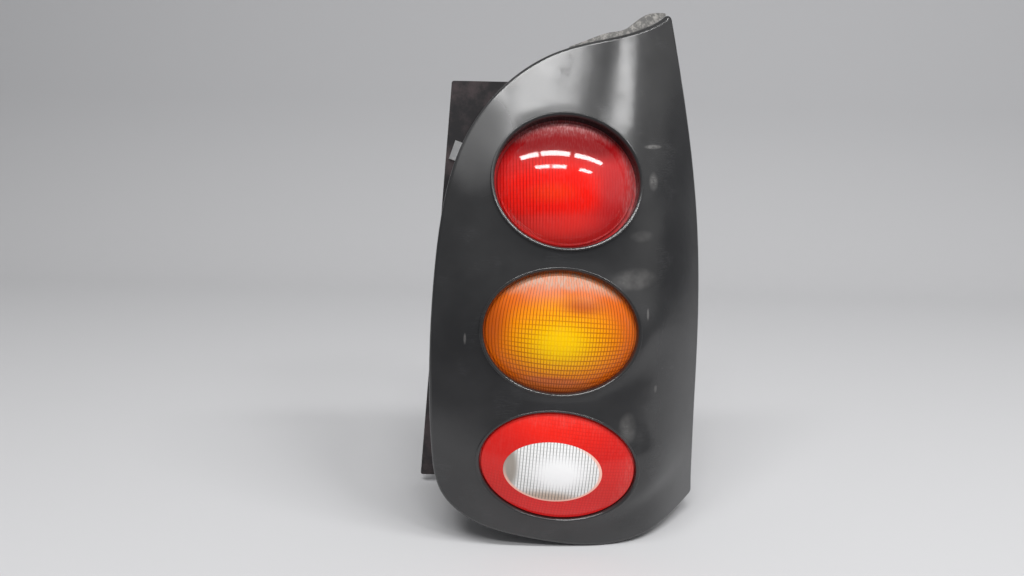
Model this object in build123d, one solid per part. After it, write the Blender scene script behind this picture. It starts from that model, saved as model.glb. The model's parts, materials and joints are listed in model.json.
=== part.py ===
"""Rear lamp cluster for the right-hand corner of a small car.

Lamp coordinates: X to the right, Y from the front towards the car body, Z up. X = 0 is the
column of the lamps, Y = 0 the front of the panel near its foot. Everything is shifted at the
end so that the seat of the upper mounting stud is the origin. Millimetres.
"""
from build123d import *
from dataclasses import dataclass
import math
import os

# Front panel: edge as seen from the front, then the curved face behind that edge
FOOT_CORNER = (122.5, 8.6)
HORN_TIP = (87.2, 408.5)
LEFT_EDGE = [
    (92.6, -0.1), (38.3, -8.3), (-30.0, 1.6), (-66.3, 14.6), (-88.2, 34.0), (-96.7, 71.3),
    (-98.6, 131.4), (-95.7, 207.3), (-90.4, 254.9), (-75.9, 305.2), (-46.5, 346.4),
    (-2.9, 374.3), (33.1, 384.1), (67.2, 394.9),
]
RIGHT_EDGE = [(100.4, 343.7), (114.5, 251.0), (117.7, 153.2), (117.4, 85.7)]
CORNER_ROUND = 5.0
TIP_ROUND = 3.8
EDGE_ROUND = 3.5
PANEL_WALL = 3.0
LEAN_RADIUS = 560.0
LEAN_START = 65.0
LEAN_END = 310.0
LEAN_BLEND = 11.0
LEFT_CROWN_X = -32.0
LEFT_CROWN_RADIUS = 190.0
LEFT_CROWN_BLEND = 5.0
FACE_TURN_RATE = 0.000276
FACE_TURN_START = 65.0
FACE_TURN_END = 270.0
FACE_TURN_LOSS = 2.73
FACE_TURN_BLEND = 20.0
FLANK_X = 80.0
FLANK_SHIFT = 15.0
FLANK_SLOPE = 1.45
FLANK_SLOPE_LOSS = 0.67
FLANK_BLEND = 31.0
FLANK_TURN_Z = 270.0
FLANK_TURN_BLEND = 40.0
FLANK_TURN_HEIGHT = 130.0
POD_PROUD = 9.0
POD_EDGE = 1.27
POD_EDGE_BLEND = 0.39
POD_DROP = 98.0
POD_MERGE = 3.5
GRID_STEP = 6.0
GRID_TOLERANCE = 0.1
GRID_MARGIN = 14.0
INSET_POINTS = 24
SLOPE_STEP = 0.1

# Lip and collar round each opening of the panel
LIP_PROUD = 0.8
LIP_WIDTH = 3.2
LIP_ROUND = 0.8
MOUTH_ROUND = 2.2
MOUTH_REACH = 95.0

# Stack under the panel: lens flange, seal, reflector flange, bowl flange
FLANGE_LIP = 4.0
LENS_WALL = 2.5
LENS_EDGE_WALL = 0.8
LENS_SHOULDER_ROUND = 1.2
SEAL_THICK = 1.5
REFLECTOR_WALL = 1.0
REFLECTOR_GAP = 0.3
BOWL_FLANGE = 3.0
BOWL_WALL = 2.5
BOWL_MOUTH_INSET = 6.0
BOWL_BASE_RADIUS = 26.0
BOWL_BULGE = 5.0
BOWL_BASE = 2.5

# Clear window in the lower lens
WINDOW_HALF_WIDTH = 37.8
WINDOW_HALF_HEIGHT = 24.5
WINDOW_SHIFT = (-4.0, -1.9)
WINDOW_ROLL = -4.2

# Back plate with its wing
PLATE_DEPTH = 112.0
PLATE_THICK = 3.0
PLATE_TOP = 351.0
PLATE_CLEARANCE = 0.4
WING_FOOT = (-117.4, -0.5)
WING_TOP_X = -89.0
WING_ROUND = 2.0

# Twist-in bulb holders and the necks that take them
HOLDER_HOLE = 11.2
HOLDER_CLEARANCE = 0.3
HOLDER_REACH = 5.0
HOLDER_FLANGE_RADIUS = 15.5
HOLDER_FLANGE = 3.0
HOLDER_SEAL = 1.5
HOLDER_GRIP_RADIUS = 12.5
HOLDER_STICKOUT = 7.0
HOLDER_WING = 3.0
HOLDER_WING_LENGTH = 10.0
NECK_CLEARANCE = 1.2
BLADE = (6.3, 0.8, 9.0)
BLADE_SPACING = 9.0

# Bulbs
CAP_RADIUS = 7.5
CAP_LENGTH = 18.0
SOCKET_DEPTH = 14.0
SOCKET_CLEARANCE = 0.2
GLASS_RADIUS = 12.4
GLASS_LENGTH = 33.0
GLASS_NECK = 6.4
GLASS_WALL = 0.8
SUPPORT_RADIUS = 0.4
SUPPORT_SPACING = 5.0
SUPPORT_HEIGHT = 16.0
COIL_RADIUS = 0.6

# Fixings
SCREW_RADIUS = 2.0
SCREW_LENGTH = 15.0
SCREW_HEAD_RADIUS = 4.0
SCREW_HEAD = 2.5
SCREW_PLACES = [(-80.0, 112.0), (-78.0, 224.0), (80.0, 112.0), (76.0, 224.0)]
SCREW_CLEARANCE = 0.2
POST_RADIUS = 5.0
POST_HOLE_CLEARANCE = 0.1
POST_HOLE_SPARE = 1.0
STUD_RADIUS = 3.0
STUD_LENGTH = 18.0
STUD_POINT = 0.8
STUD_NECK_RADIUS = 4.0
STUD_NECK_CLEARANCE = 0.05
STUD_HEAD_RADIUS = 9.0
STUD_HEAD = 2.5
STUD_PLACES = [(-50.0, 318.0), (-70.0, 40.0), (70.0, 168.0)]

# Foam and the clip on the wing
GASKET_CENTRE = (-9.0, 156.0)
GASKET_SIZE = (96.0, 268.0)
GASKET_CORNER = 34.0
GASKET_WIDTH = 9.0
GASKET_THICK = 5.0
TOP_SEAL_FROM_X = 5.0
TOP_SEAL_TO_X = 84.0
TOP_SEAL_GAP = 0.2
TOP_SEAL_OUTLINE = [
    (0.0, 0.9), (0.2, 2.8), (0.38, 4.6), (0.54, 4.2),
    (0.68, 7.6), (0.82, 9.0), (0.93, 6.0), (1.0, 2.0),
]
TOP_SEAL_SETBACK = 3.5
TOP_SEAL_WIDTH = 8.0
CLIP_Z = 293.0
CLIP_LENGTH = 16.0
CLIP_FOOT = 8.0
CLIP_HEIGHT = 17.0
CLIP_SHEET = 1.2
CLIP_GAP = 0.2

EDGE_UPPER_HALF = (0.5, 1.0)
EDGE_LEFT_SIDE = (0.3, 0.75)
SEARCH_STEPS = 40
HALF_TURN = 180.0
FAR = 400.0
BACKWARD = (0, 1, 0)
FROM_BELOW = (Align.CENTER, Align.CENTER, Align.MIN)


@dataclass
class Lamp:
    """One lamp: its opening, how deep its lens flange lies, and its lens and bowl."""

    name: str
    x: float
    z: float
    half_width: float
    half_height: float
    lean: float
    turn: float
    roll: float
    flange_depth: float
    shoulder: float
    lens_gap: float
    dome: float
    bowl_depth: float
    blades: int


LAMPS = [
    Lamp("upper", 4.0, 278.0, 55.5, 51.1, 22.1, 6.6, 0.6, 10.8, 1.6, 2.4, 17.0, 42.0, 3),
    Lamp("middle", 1.0, 168.0, 58.4, 46.3, 11.1, 3.8, 3.3, 6.5, 2.0, 1.5, 15.0, 58.0, 2),
    Lamp("lower", 1.2, 63.4, 60.4, 43.6, 0.6, 0.2, 8.0, 6.0, 4.6, 1.0, 11.0, 62.0, 2),
]
UPPER, MIDDLE, LOWER = LAMPS


def soft(value, blend):
    """Zero below, the value itself above, with a smooth bend between."""
    return (math.hypot(value, blend) + value) / 2


def body_depth(x, z):
    """Depth of the panel's face without the raised rings round the lamps."""
    over = soft(z - LEAN_END, LEAN_BLEND)
    depth = ((z - LEAN_START) ** 2 - over ** 2) / (2 * LEAN_RADIUS)
    depth += soft(LEFT_CROWN_X - x, LEFT_CROWN_BLEND) ** 2 / (2 * LEFT_CROWN_RADIUS)
    height = soft(z - FACE_TURN_START, FACE_TURN_BLEND)
    height -= FACE_TURN_LOSS * soft(z - FACE_TURN_END, FACE_TURN_BLEND)
    depth += x * FACE_TURN_RATE * height
    rise = soft(z - FLANK_TURN_Z, FLANK_TURN_BLEND) / FLANK_TURN_HEIGHT
    slope = FLANK_SLOPE - FLANK_SLOPE_LOSS * rise
    return depth + slope * soft(x - FLANK_X + FLANK_SHIFT * rise, FLANK_BLEND)


def projected(lamp):
    """Half width and half height of a lamp's opening as seen along Y."""
    turned_width = lamp.half_width * math.cos(math.radians(lamp.turn))
    return turned_width, lamp.half_height * math.cos(math.radians(lamp.lean))


def roll_axes(lamp):
    """Directions of a lamp's long and short axes as seen from the front."""
    roll = math.radians(lamp.roll)
    return (math.cos(roll), -math.sin(roll)), (math.sin(roll), math.cos(roll))


def face_depth(x, z):
    """Depth of the panel's outer face at a point seen from the front."""
    depth = body_depth(x, z)
    for lamp in LAMPS:
        width, height = projected(lamp)
        long_axis, short_axis = roll_axes(lamp)
        right, up = x - lamp.x, z - lamp.z
        along = right * long_axis[0] + up * long_axis[1]
        across = right * short_axis[0] + up * short_axis[1]
        reach = math.hypot(along / width, across / height)
        ring = body_depth(lamp.x, lamp.z) - POD_PROUD
        ring += up * math.tan(math.radians(lamp.lean))
        ring += right * math.tan(math.radians(lamp.turn))
        ring += POD_DROP * soft(reach - POD_EDGE, POD_EDGE_BLEND)
        depth = (depth + ring - math.hypot(depth - ring, POD_MERGE)) / 2
    return depth


def wall_depth(x, z, wall):
    """Depth of a face that lies a wall's thickness behind the outer face."""
    slope_x = (face_depth(x + SLOPE_STEP, z) - face_depth(x - SLOPE_STEP, z)) / (2 * SLOPE_STEP)
    slope_z = (face_depth(x, z + SLOPE_STEP) - face_depth(x, z - SLOPE_STEP)) / (2 * SLOPE_STEP)
    return face_depth(x, z) + wall * math.sqrt(1 + slope_x ** 2 + slope_z ** 2)


def behind_face(wall):
    """Everything behind the panel's face, or behind a face one wall deeper."""
    xs = [p[0] for p in LEFT_EDGE + RIGHT_EDGE + [FOOT_CORNER, HORN_TIP]]
    zs = [p[1] for p in LEFT_EDGE + RIGHT_EDGE + [FOOT_CORNER, HORN_TIP]]
    left, right = min(xs) - GRID_MARGIN, max(xs) + GRID_MARGIN
    low, high = min(zs) - GRID_MARGIN, max(zs) + GRID_MARGIN
    columns = math.ceil((right - left) / GRID_STEP)
    rows = math.ceil((high - low) / GRID_STEP)
    grid = []
    for i in range(columns + 1):
        x = left + (right - left) * i / columns
        heights = [low + (high - low) * j / rows for j in range(rows + 1)]
        grid.append([(x, wall_depth(x, z, wall), z) for z in heights])
    face = Face.make_surface_from_array_of_points(grid, tol=GRID_TOLERANCE, min_deg=3, max_deg=3)
    return Solid.extrude(face, Vector(0, FAR, 0))


def sheet(face, front, back):
    """Solid between two depths with a face drawn as seen from the front."""
    return Pos(0, front, 0) * extrude(Plane.XZ * face, amount=back - front, dir=BACKWARD)


def rod(place, radius, front, back):
    """Round rod along Y at a place seen from the front."""
    return sheet(Pos(place[0], place[1]) * Circle(radius), front, back)


def rim_depths(lamp, axis, reach):
    """Depths of the face at the two ends of an axis of a lamp's opening."""
    ends = [(lamp.x + side * reach * axis[0], lamp.z + side * reach * axis[1]) for side in (1, -1)]
    return [face_depth(x, z) for x, z in ends]


def lamp_plane(lamp):
    """Plane of a lamp's rim: X along its long axis, Y along its short axis, Z outwards."""
    width, height = projected(lamp)
    long_axis, short_axis = roll_axes(lamp)
    right, left = rim_depths(lamp, long_axis, width)
    top, foot = rim_depths(lamp, short_axis, height)
    along = (right - left) / (2 * width)
    across = (top - foot) / (2 * height)
    turn = along * long_axis[0] + across * short_axis[0]
    lean = along * long_axis[1] + across * short_axis[1]
    centre = (lamp.x, (right + left + top + foot) / 4, lamp.z)
    return Plane(origin=centre, x_dir=(long_axis[0], along, long_axis[1]), z_dir=(turn, -1, lean))


def placed(lamp, shape):
    """A shape made about the lamp's own axis, moved to where the lamp is."""
    return lamp_plane(lamp).location * shape


def oval(lamp, shape):
    """Stretch a round shape to the proportions of the lamp's opening."""
    return scale(shape, by=(1, lamp.half_height / lamp.half_width, 1))


def turned(face):
    """Solid of revolution of a face drawn as radius and height."""
    return revolve(Plane.XZ * face, Axis.Z)


def disc(radius, low, high):
    """Round disc about the lamp's axis between two heights."""
    return Pos(0, 0, low) * Cylinder(radius, high - low, align=FROM_BELOW)


def washer(inner, outer, low, high):
    """Round ring about the lamp's axis between two heights."""
    return disc(outer, low, high) - disc(inner, low - 1, high + 1)


def dome_arc(radius, edge, rise):
    """Arc of a spherical dome from its apex to its edge."""
    sphere = (radius ** 2 + rise ** 2) / (2 * rise)
    half = math.asin(radius / sphere) / 2
    middle = (sphere * math.sin(half), edge + rise - sphere * (1 - math.cos(half)))
    return ThreePointArc((0, edge + rise), middle, (radius, edge))


def levels(lamp):
    """Heights along the lamp's axis of the faces in its stack, from the lens to the car."""
    lens_back = -lamp.flange_depth - LENS_WALL
    seal_back = lens_back - SEAL_THICK
    bowl_front = seal_back - REFLECTOR_WALL
    base_front = bowl_front - lamp.bowl_depth
    return lens_back, seal_back, bowl_front, base_front, base_front - BOWL_BASE


def plate_back(lamp):
    """Height along the lamp's axis at which it passes the back of the plate."""
    plane = lamp_plane(lamp)
    return (PLATE_DEPTH + PLATE_THICK - plane.origin.Y) / plane.z_dir.Y


def edge_curves():
    """The panel's edge: one curve round the left from foot to horn, one down the right."""
    left = Spline(FOOT_CORNER, *LEFT_EDGE, HORN_TIP)
    right = Spline(HORN_TIP, *RIGHT_EDGE, FOOT_CORNER)
    return left, right


def panel_outline():
    """Face inside the panel's edge, with its two corners rounded."""
    left, right = edge_curves()
    face = make_face([left, right])
    face = fillet(face.vertices().sort_by(Axis.Y)[-1], TIP_ROUND)
    return fillet(face.vertices().sort_by_distance(FOOT_CORNER)[0], CORNER_ROUND)


def inset_outline(amount):
    """Face inside the panel's edge, set in by an amount all round."""
    inset = []
    curves = edge_curves()
    for before, curve in zip(reversed(curves), curves):
        arriving, leaving = before % 1.0, curve % 0.0
        normals = Vector(arriving.Y, -arriving.X) + Vector(leaving.Y, -leaving.X)
        corner = (curve @ 0.0) + normals * (amount / (1 + arriving.dot(leaving)))
        points = [corner]
        for i in range(1, INSET_POINTS):
            along = curve % (i / INSET_POINTS)
            points.append((curve @ (i / INSET_POINTS)) + Vector(along.Y, -along.X) * amount)
        inset.append(points)
    left, right = inset
    return make_face([Spline(*left, right[0]), Spline(*right, left[0])])


def edge_point(coordinate, value, span):
    """Position within a span of the left edge curve at which X or Z reaches a value."""
    curve = edge_curves()[0]
    start, stop = span
    for _ in range(SEARCH_STEPS):
        middle = (start + stop) / 2
        here = curve @ middle
        if (here.X if coordinate == "x" else here.Y) < value:
            start = middle
        else:
            stop = middle
    return middle


def opening(lamp):
    """Hole through the panel in front of a lens, with a rounded mouth."""
    radius = lamp.half_width
    wide = radius + MOUTH_ROUND
    bend = LIP_PROUD - MOUTH_ROUND
    edges = [
        Polyline((wide, LIP_PROUD), (wide, MOUTH_REACH), (0, MOUTH_REACH), (0, -lamp.flange_depth),
                 (radius, -lamp.flange_depth), (radius, bend)),
        RadiusArc((radius, bend), (wide, LIP_PROUD), MOUTH_ROUND),
    ]
    return placed(lamp, oval(lamp, turned(make_face(edges))))


def lip(lamp):
    """Raised rounded bead round an opening."""
    ring = disc(lamp.half_width + LIP_WIDTH, -PANEL_WALL, LIP_PROUD)
    ring = fillet(ring.edges().sort_by(Axis.Z)[-1], LIP_ROUND)
    return placed(lamp, oval(lamp, ring))


def make_front_panel():
    """Moulded cover: curved face, skirt down to the plate, collars, lips and screw posts."""
    outline = panel_outline()
    body = sheet(outline, -FAR / 2, FAR / 2) & behind_face(0.0)
    body = fillet(body.faces().sort_by(Axis.Y)[0].edges(), EDGE_ROUND)
    hollow = sheet(inset_outline(PANEL_WALL), -FAR / 2, FAR)
    for place in SCREW_PLACES:
        hollow -= rod(place, POST_RADIUS, -FAR, PLATE_DEPTH)
    for lamp in LAMPS:
        collar = disc(lamp.half_width + LIP_WIDTH, -lamp.flange_depth, MOUTH_REACH)
        hollow -= placed(lamp, oval(lamp, collar))
    hollow += rod((0, 0), 2 * FAR, PLATE_DEPTH, PLATE_DEPTH + FAR)
    body -= hollow & behind_face(PANEL_WALL)
    for lamp in LAMPS:
        body += lip(lamp)
        body -= opening(lamp)
    hole_end = PLATE_DEPTH + PLATE_THICK - SCREW_LENGTH - POST_HOLE_SPARE
    for place in SCREW_PLACES:
        body -= rod(place, SCREW_RADIUS + POST_HOLE_CLEARANCE, hole_end, PLATE_DEPTH + 1)
    return body


def bowl_profile(lamp, grow, front, base):
    """Half section of a bowl: curved wall from its mouth to its flat base."""
    mouth = lamp.half_width - BOWL_MOUTH_INSET + grow
    foot = BOWL_BASE_RADIUS + grow
    middle = ((mouth + foot) / 2 + BOWL_BULGE, (front + base) / 2)
    return make_face([
        ThreePointArc((mouth, front), middle, (foot, base)),
        Polyline((foot, base), (0, base), (0, front), (mouth, front)),
    ])


def make_housing(clear_of_panel):
    """Lamp carrier: plate with wing, three bowls with flanges, and three holder necks."""
    back = PLATE_DEPTH + PLATE_THICK
    wing = Polyline(WING_FOOT, (WING_TOP_X, PLATE_TOP), (0, PLATE_TOP), (0, WING_FOOT[1]), close=True)
    wing = fillet(make_face(wing).vertices().sort_by(Axis.X)[:2], WING_ROUND)
    below_top = Pos(0, PLATE_TOP - FAR) * Rectangle(2 * FAR, 2 * FAR)
    body = sheet(panel_outline() & below_top, PLATE_DEPTH, back) & clear_of_panel
    body += sheet(wing, PLATE_DEPTH, back)
    holes = []
    for lamp in LAMPS:
        bowl_front, base_front, base_back = levels(lamp)[2:]
        rear = plate_back(lamp) - FAR / 4
        neck = HOLDER_FLANGE_RADIUS + NECK_CLEARANCE
        flange = disc(lamp.half_width + FLANGE_LIP, bowl_front - BOWL_FLANGE, bowl_front)
        bowl = turned(bowl_profile(lamp, BOWL_WALL, bowl_front, base_back))
        solid = placed(lamp, oval(lamp, flange + bowl))
        solid += placed(lamp, disc(neck + BOWL_WALL, rear, base_front - BOWL_BASE / 2))
        body += solid - rod((0, 0), 2 * FAR, back, 2 * FAR)
        holes.append(placed(lamp, oval(lamp, turned(bowl_profile(lamp, 0.0, bowl_front, base_front)))))
        holes.append(placed(lamp, disc(HOLDER_HOLE, base_back - 1, base_front + 1)))
        holes.append(placed(lamp, disc(neck, rear, base_back)))
    for place in SCREW_PLACES:
        holes.append(rod(place, SCREW_RADIUS + SCREW_CLEARANCE, PLATE_DEPTH - 1, back + 1))
    for place in STUD_PLACES:
        holes.append(rod(place, STUD_NECK_RADIUS + STUD_NECK_CLEARANCE, PLATE_DEPTH - 1, back + 1))
    for hole in holes:
        body -= hole
    return body


def lens_shell(lamp):
    """Domed lens with a flat flange, still round."""
    radius = lamp.half_width - lamp.lens_gap
    outer = lamp.half_width + FLANGE_LIP
    front = -lamp.flange_depth
    shoulder = front + lamp.shoulder
    inner = radius - LENS_WALL
    inner_edge = shoulder - LENS_EDGE_WALL
    edges = [
        dome_arc(radius, shoulder, lamp.dome),
        Polyline((radius, shoulder), (radius, front), (outer, front), (outer, front - LENS_WALL),
                 (inner, front - LENS_WALL), (inner, inner_edge)),
        dome_arc(inner, inner_edge, lamp.dome - LENS_WALL + LENS_EDGE_WALL),
        Line((0, shoulder + lamp.dome - LENS_WALL), (0, shoulder + lamp.dome)),
    ]
    section = make_face(edges)
    edge = section.vertices().sort_by_distance((radius, shoulder))[0]
    return turned(fillet(edge, LENS_SHOULDER_ROUND))


def make_lens(lamp):
    """One-piece lens of a lamp."""
    return placed(lamp, oval(lamp, lens_shell(lamp)))


def window_core():
    """Oval rod along the lower lamp's axis that bounds the clear window, drawn from its left end."""
    window = Rot(0, 0, HALF_TURN - WINDOW_ROLL) * Ellipse(WINDOW_HALF_WIDTH, WINDOW_HALF_HEIGHT)
    window = Pos(*WINDOW_SHIFT) * window
    return placed(LOWER, extrude(window, FAR / 2, both=True))


def make_lens_seal(lamp):
    """Flat seal between the lens flange and the reflector flange."""
    lens_back, seal_back = levels(lamp)[:2]
    inner = lamp.half_width - lamp.lens_gap - LENS_WALL
    return placed(lamp, oval(lamp, washer(inner, lamp.half_width + FLANGE_LIP, seal_back, lens_back)))


def make_reflector(lamp):
    """Bright liner of a bowl, with a flange at its mouth and a hole for the holder."""
    seal_back, bowl_front, base_front = levels(lamp)[1:4]
    outer = turned(bowl_profile(lamp, -REFLECTOR_GAP, seal_back, base_front))
    cavity = bowl_profile(lamp, -REFLECTOR_GAP - REFLECTOR_WALL, seal_back, base_front + REFLECTOR_WALL)
    flange = disc(lamp.half_width + FLANGE_LIP, bowl_front, seal_back)
    shell = oval(lamp, flange + outer) - oval(lamp, turned(cavity))
    return placed(lamp, shell - disc(HOLDER_HOLE + HOLDER_CLEARANCE, base_front - 1, base_front + 2))


def holder_levels(lamp):
    """Heights of a holder's front, flange front, flange back and rear end."""
    base_front, base_back = levels(lamp)[3:]
    flange_front = base_back - HOLDER_SEAL
    rear = plate_back(lamp) - HOLDER_STICKOUT
    return base_front + HOLDER_REACH, flange_front, flange_front - HOLDER_FLANGE, rear


def make_holder(lamp):
    """Twist-in bulb holder: nose with a socket, flange, and a grip with two wings."""
    front, flange_front, flange_back, rear = holder_levels(lamp)
    body = disc(HOLDER_HOLE - HOLDER_CLEARANCE, flange_front, front)
    body += disc(HOLDER_FLANGE_RADIUS, flange_back, flange_front)
    body += disc(HOLDER_GRIP_RADIUS, rear, flange_back)
    wing = Box(2 * HOLDER_FLANGE_RADIUS, HOLDER_WING, HOLDER_WING_LENGTH, align=FROM_BELOW)
    body += Pos(0, 0, rear) * wing
    body -= disc(CAP_RADIUS + SOCKET_CLEARANCE, front - SOCKET_DEPTH, front + 1)
    return placed(lamp, body)


def make_holder_seal(lamp):
    """Gasket between the bowl's base and the holder's flange."""
    back = holder_levels(lamp)[1]
    return placed(lamp, washer(HOLDER_HOLE, HOLDER_FLANGE_RADIUS, back, back + HOLDER_SEAL))


def make_terminals(lamp):
    """Flat blades that stand out of the holder's rear end."""
    rear = holder_levels(lamp)[3]
    width, thick, length = BLADE
    blade = Pos(0, 0, rear - length) * Box(width, thick, length, align=FROM_BELOW)
    blades = [Pos(0, BLADE_SPACING / 2, 0) * blade, Pos(0, -BLADE_SPACING / 2, 0) * blade]
    if lamp.blades > len(blades):
        blades.append(blade)
    return Compound(children=[placed(lamp, b) for b in blades])


def cap_top(lamp):
    """Height of the top of a bulb's cap, which sits on the bottom of its socket."""
    return holder_levels(lamp)[0] - SOCKET_DEPTH + CAP_LENGTH


def make_cap(lamp):
    """Metal cap of a bulb."""
    top = cap_top(lamp)
    return placed(lamp, disc(CAP_RADIUS, top - CAP_LENGTH, top))


def glass_profile(top, shrink):
    """Half section of a bulb: narrow neck, round belly, domed end."""
    belly = GLASS_RADIUS - shrink
    neck = GLASS_NECK - shrink
    centre = top + GLASS_LENGTH - GLASS_RADIUS
    return make_face([
        Polyline((0, top), (neck, top), (neck, top + GLASS_NECK / 2)),
        Spline((neck, top + GLASS_NECK / 2), (belly, centre), tangents=[(0, 1), (0, 1)]),
        RadiusArc((belly, centre), (0, centre + belly), -belly),
        Line((0, centre + belly), (0, top)),
    ])


def make_glass(lamp):
    """Hollow glass envelope of a bulb, open where it stands on the cap."""
    top = cap_top(lamp)
    return placed(lamp, turned(glass_profile(top, 0.0)) - turned(glass_profile(top, GLASS_WALL)))


def make_filament(lamp):
    """Two support wires on the cap and the coil between them."""
    top = cap_top(lamp)
    half = SUPPORT_SPACING / 2
    wire = disc(SUPPORT_RADIUS, top, top + SUPPORT_HEIGHT)
    coil = Cylinder(COIL_RADIUS, SUPPORT_SPACING + 2 * SUPPORT_RADIUS)
    coil = Pos(0, 0, top + SUPPORT_HEIGHT) * Rot(0, 90, 0) * coil
    return placed(lamp, Pos(-half, 0, 0) * wire + Pos(half, 0, 0) * wire + coil)


def make_screws():
    """Screws through the plate into the panel's posts, heads at the back."""
    back = PLATE_DEPTH + PLATE_THICK
    screws = []
    for place in SCREW_PLACES:
        head = rod(place, SCREW_HEAD_RADIUS, back, back + SCREW_HEAD)
        screws.append(head + rod(place, SCREW_RADIUS, back - SCREW_LENGTH, back))
    return Compound(children=screws)


def make_studs():
    """Studs held by their heads in front of the plate, threads standing out behind it."""
    back = PLATE_DEPTH + PLATE_THICK
    studs = []
    for place in STUD_PLACES:
        stud = rod(place, STUD_HEAD_RADIUS, PLATE_DEPTH - STUD_HEAD, PLATE_DEPTH)
        stud += rod(place, STUD_NECK_RADIUS, PLATE_DEPTH, back)
        end = back + STUD_LENGTH
        stud += rod(place, STUD_RADIUS, back, end)
        tip = Circle(STUD_RADIUS - STUD_POINT)
        stud += loft([
            Plane(origin=(place[0], end, place[1]), z_dir=BACKWARD) * Circle(STUD_RADIUS),
            Plane(origin=(place[0], end + STUD_POINT, place[1]), z_dir=BACKWARD) * tip,
        ])
        studs.append(stud)
    return Compound(children=studs)


def make_gasket():
    """Foam ring on the back of the plate, round the three holders."""
    back = PLATE_DEPTH + PLATE_THICK
    width, height = GASKET_SIZE
    inner = (width - 2 * GASKET_WIDTH, height - 2 * GASKET_WIDTH)
    ring = RectangleRounded(width, height, GASKET_CORNER)
    ring -= RectangleRounded(*inner, GASKET_CORNER - GASKET_WIDTH)
    return sheet(Pos(*GASKET_CENTRE) * ring, back, back + GASKET_THICK)


def make_top_seal(behind_front):
    """Foam strip on the upper skirt, thin at its ends and swollen near the horn."""
    curve = edge_curves()[0]
    start = edge_point("x", TOP_SEAL_FROM_X, EDGE_UPPER_HALF)
    stop = edge_point("x", TOP_SEAL_TO_X, EDGE_UPPER_HALF)
    inner, outer = [], []
    for share, thick in TOP_SEAL_OUTLINE:
        place = start + (stop - start) * share
        along = curve % place
        outward = Vector(-along.Y, along.X)
        inner.append((curve @ place) + outward * TOP_SEAL_GAP)
        outer.append((curve @ place) + outward * thick)
    ends = [Line(inner[-1], outer[-1]), Line(outer[0], inner[0])]
    face = make_face([Spline(*inner), Spline(*outer)] + ends)
    strip = sheet(face, -FAR, FAR) & (Pos(0, TOP_SEAL_SETBACK, 0) * behind_front)
    return strip - Pos(0, TOP_SEAL_SETBACK + TOP_SEAL_WIDTH, 0) * behind_front


def make_clip():
    """Folded spring clip on the wing, its upright beside the panel's skirt."""
    curve = edge_curves()[0]
    place = edge_point("z", CLIP_Z, EDGE_LEFT_SIDE)
    along = curve % place
    here = curve @ place
    outward = (-along.Y, 0, along.X)
    plane = Plane(origin=(here.X, PLATE_DEPTH, here.Y), x_dir=outward, z_dir=(along.X, 0, along.Y))
    side = 1 if plane.y_dir.Y < 0 else -1
    far = CLIP_GAP + CLIP_FOOT
    inside = CLIP_GAP + CLIP_SHEET
    profile = Polyline(
        (CLIP_GAP, 0), (far, 0), (far, side * CLIP_SHEET), (inside, side * CLIP_SHEET),
        (inside, side * CLIP_HEIGHT), (CLIP_GAP, side * CLIP_HEIGHT), close=True)
    return extrude(plane * make_face(profile), CLIP_LENGTH / 2, both=True)


def write(name, shape):
    """Shift a piece so that the upper stud's seat is the origin, and write it."""
    x, z = STUD_PLACES[0]
    export_step(Pos(-x, -PLATE_DEPTH - PLATE_THICK, -z) * shape, f"parts/{name}.step")


def main():
    """Make every piece and write it."""
    os.makedirs("parts", exist_ok=True)
    write("front_panel", make_front_panel())
    write("housing", make_housing(behind_face(PANEL_WALL + PLATE_CLEARANCE)))
    write("red_lens", make_lens(UPPER))
    write("amber_lens", make_lens(MIDDLE))
    lower_lens = make_lens(LOWER)
    write("reflex_ring_lens", lower_lens - window_core())
    write("clear_lens", lower_lens & window_core())
    for lamp in LAMPS:
        write(f"{lamp.name}_lens_seal", make_lens_seal(lamp))
        write(f"{lamp.name}_reflector", make_reflector(lamp))
        write(f"{lamp.name}_bulb_holder", make_holder(lamp))
        write(f"{lamp.name}_holder_seal", make_holder_seal(lamp))
        write(f"{lamp.name}_terminals", make_terminals(lamp))
        write(f"{lamp.name}_bulb_cap", make_cap(lamp))
        write(f"{lamp.name}_bulb_glass", make_glass(lamp))
        write(f"{lamp.name}_filament", make_filament(lamp))
    write("panel_screws", make_screws())
    write("mounting_studs", make_studs())
    write("body_gasket", make_gasket())
    write("top_edge_seal", make_top_seal(behind_face(0.0)))
    write("side_clip", make_clip())


main()
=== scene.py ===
"""Looks of a tail light cluster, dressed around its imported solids.

The panel, the housing, the bowls and the small plain pieces keep their solids and get a
finish. The lenses, screws and studs get finer meshes in their solids' places.
"""

from __future__ import annotations

import json
import logging
import math
from dataclasses import dataclass, field
from enum import Enum
from functools import reduce
from typing import Any, Callable, Sequence

import bmesh
import bpy
import numpy as np
from bpy.types import ID, GeometryNodeTree, Material, Mesh, Node, NodeSocket, NodeTree, Object
from mathutils import Matrix, Vector

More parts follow.
